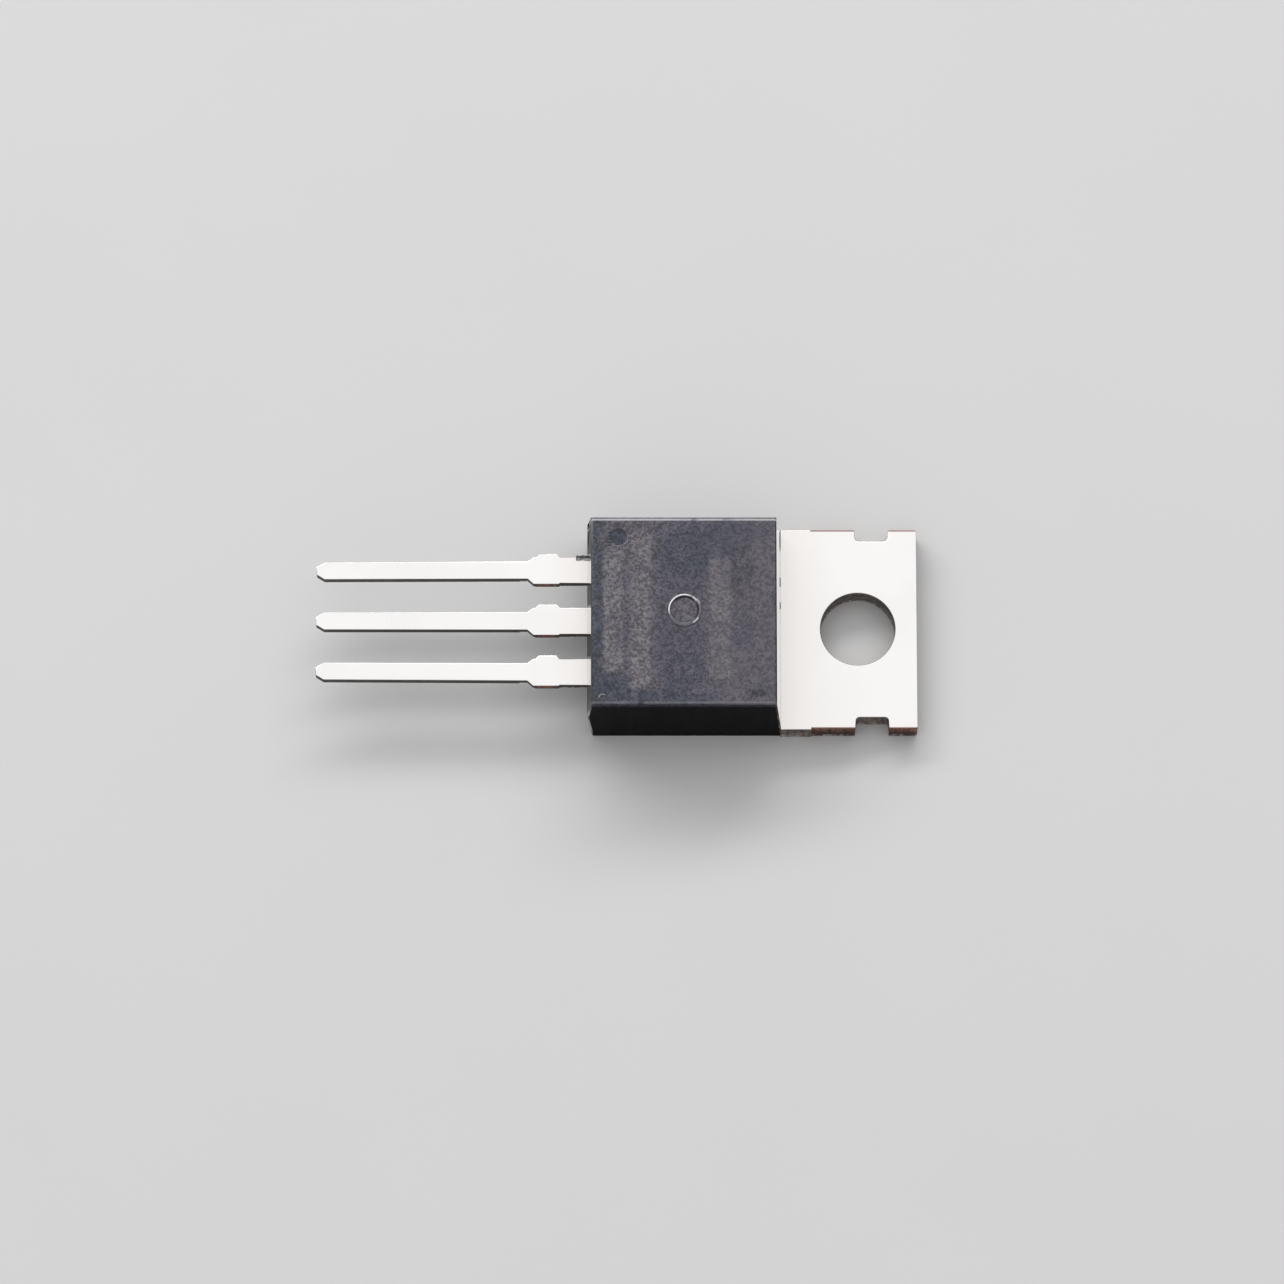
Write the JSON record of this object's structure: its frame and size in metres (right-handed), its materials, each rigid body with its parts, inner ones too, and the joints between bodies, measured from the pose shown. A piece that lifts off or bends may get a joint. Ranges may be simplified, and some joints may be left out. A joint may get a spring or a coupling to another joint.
{
  "type": "insulated-gate bipolar transistor",
  "caption": "Power transistor: drafted dark moulding on a tinned copper heat-sink tab with a screw hole, and straight flat gate, collector and emitter leads in one plane.",
  "frame": {"origin": "on the axis of the mounting hole, in the mounting face", "axes": "+X along the part from the lead tips to the free end of the tab, +Z out of the marked face along the hole, +Y to the side of the first lead (gate)"},
  "size_m": [0.0289, 0.01, 0.0045],
  "materials": {
    "mould_compound": "matte spark-eroded face, smoother sides",
    "tinned_copper": "satin tin plate over copper, bare copper where sheared",
    "silicon": "polished",
    "solder": "dull",
    "bond_wire": "drawn, bright"
  },
  "bodies": {
    "root": {"moulded_body": "mould_compound", "collector_frame": "tinned_copper", "gate_lead": "tinned_copper", "emitter_lead": "tinned_copper", "igbt_die": "silicon", "die_solder": "solder", "emitter_wire_1": "bond_wire", "emitter_wire_2": "bond_wire", "gate_wire": "bond_wire"}
  },
  "joints": []
}
